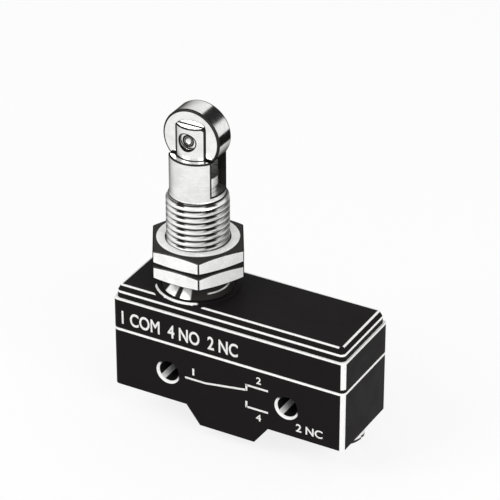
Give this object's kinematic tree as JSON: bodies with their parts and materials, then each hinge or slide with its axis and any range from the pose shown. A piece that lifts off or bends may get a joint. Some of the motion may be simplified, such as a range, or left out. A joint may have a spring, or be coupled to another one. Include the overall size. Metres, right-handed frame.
{
  "type": "micro switch",
  "caption": "Snap-action micro switch with a roller plunger in a threaded panel-mount barrel, lock nuts, and screw terminals under a moulded case.",
  "frame": {"origin": "midway between the two mounting holes, at mid thickness of the case", "axes": "+Z along the plunger and barrel, +X along the case away from the barrel, +Y through the case's thickness"},
  "size_m": [0.0492, 0.0174, 0.0656],
  "materials": {
    "phenolic": "moulded, satin",
    "phenolic_plate": "moulded, satin",
    "plated_steel": "bright plated",
    "plated_nut": "bright plated",
    "plunger_steel": "turned",
    "roller_steel": "ground",
    "axle_steel": "turned",
    "spring_steel": "drawn",
    "screw_steel": "bright plated",
    "brass": "rolled",
    "blade_copper": "rolled",
    "silver": "matt",
    "rubber": "matt",
    "pin_plastic": "moulded"
  },
  "bodies": {
    "body": {"case": "phenolic", "case_gasket": "rubber", "cover": "phenolic", "top_plate": "phenolic_plate", "barrel": "plated_steel", "return_spring": "spring_steel", "spring_seat": "spring_steel", "diaphragm": "rubber", "anvil": "brass", "com_terminal": "brass", "no_terminal": "brass", "nc_terminal": "brass", "no_contact": "silver", "nc_contact": "silver", "com_screw": "screw_steel", "com_washer": "screw_steel", "no_screw": "screw_steel", "no_washer": "screw_steel", "nc_screw": "screw_steel", "nc_washer": "screw_steel", "plate_screw_1": "screw_steel", "plate_screw_2": "screw_steel", "plate_screw_3": "screw_steel", "plate_screw_4": "screw_steel"},
    "plunger": {"plunger": "plunger_steel", "plunger_ring": "rubber", "roller_axle": "axle_steel", "pusher_clip": "spring_steel", "overtravel_spring": "spring_steel"},
    "roller": {"roller": "roller_steel"},
    "pusher": {"pusher": "plunger_steel", "actuating_pin": "pin_plastic"},
    "snap_blade": {"snap_blade": "blade_copper", "blade_rivet": "brass", "moving_contact": "silver"},
    "lock_nut_lower": {"lock_nut_lower": "plated_nut"},
    "lock_nut_upper": {"lock_nut_upper": "plated_nut"}
  },
  "joints": [
    {"name": "plunger_slide", "type": "slide", "parent": "body", "child": "plunger", "axis": [0, 0, -1], "range_m": [0, 0.004], "stiffness_N_per_m": 500, "springref_m": -0.003, "deforming": ["return_spring", "overtravel_spring"]},
    {"name": "roller_spin", "type": "hinge", "parent": "plunger", "child": "roller", "pos_m": [-0.0109, 0, 0.04735], "axis": [0, 1, 0], "continuous": true},
    {"name": "pusher_slide", "type": "slide", "parent": "body", "child": "pusher", "axis": [0, 0, -1], "range_m": [0, 0.00036]},
    {"name": "blade_snap", "type": "hinge", "parent": "body", "child": "snap_blade", "pos_m": [-0.017, 0, 0.0077], "axis": [0, 1, 0], "range_deg": [0, 0.82]},
    {"name": "upper_nut_travel", "type": "slide", "parent": "body", "child": "lock_nut_upper", "axis": [0, 0, 1], "range_m": [0, 0.0085]},
    {"name": "lower_nut_travel", "type": "slide", "parent": "body", "child": "lock_nut_lower", "axis": [0, 0, -1], "range_m": [0, 0.0024]}
  ],
  "couplings": [
    {"joint": "pusher_slide", "follows": "plunger_slide", "ratio": 0.0899},
    {"joint": "blade_snap", "follows": "plunger_slide", "rad_per_m": 3.55}
  ]
}
